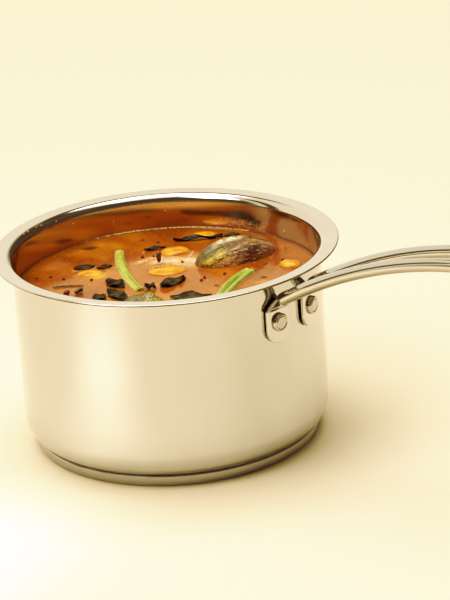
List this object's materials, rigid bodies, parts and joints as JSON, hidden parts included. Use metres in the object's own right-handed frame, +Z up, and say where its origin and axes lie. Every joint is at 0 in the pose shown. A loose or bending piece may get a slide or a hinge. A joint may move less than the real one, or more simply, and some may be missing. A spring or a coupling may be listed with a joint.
{
  "type": "pot of lentil stew",
  "caption": "Polished steel saucepan with a long bent-rod handle, filled with a brothy lentil stew on which eggplant halves, small onions, bean pods and curry leaves float.",
  "frame": {"origin": "middle of the pan's underside, on the surface that it stands on", "axes": "+X from the pan's axis along the handle, +Y across the pan to the left of the handle, +Z up"},
  "size_m": [0.3454, 0.1788, 0.1315],
  "materials": {
    "steel": "polished stainless steel",
    "steel_base": "satin stainless steel",
    "stew": "wet orange-brown broth with a tan sheen",
    "eggplant": "wet cooked skin, brown and olive mottled",
    "shallot": "wet, stained yellow-orange",
    "pod": "wet pale green",
    "leaf": "wet, blackish green",
    "chilli": "wet dark red"
  },
  "bodies": {
    "root": {"pan_body": "steel", "pan_rim": "steel", "base_cap": "steel_base", "handle": "steel", "rivet_left": "steel", "rivet_right": "steel", "stew": "stew", "eggplant_half_back": "eggplant", "eggplant_half_front": "eggplant", "shallot_middle": "shallot", "shallot_front": "shallot", "shallot_right": "shallot", "shallot_back": "shallot", "shallot_left": "shallot", "shallot_near": "shallot", "pod_long": "pod", "pod_split": "pod", "leaf_back_long": "leaf", "leaf_back_tip": "leaf", "leaf_middle": "leaf", "leaf_left_dark": "leaf", "leaf_left_grey": "leaf", "leaf_grey": "leaf", "leaf_black_long": "leaf", "leaf_star": "leaf", "leaf_curled": "leaf", "leaf_tuft": "leaf", "leaf_front_big": "leaf", "leaf_near": "leaf", "leaf_near_left": "leaf", "stem": "chilli", "chilli_tip": "chilli", "chilli_red": "chilli", "chilli_tail": "chilli"}
  },
  "joints": []
}
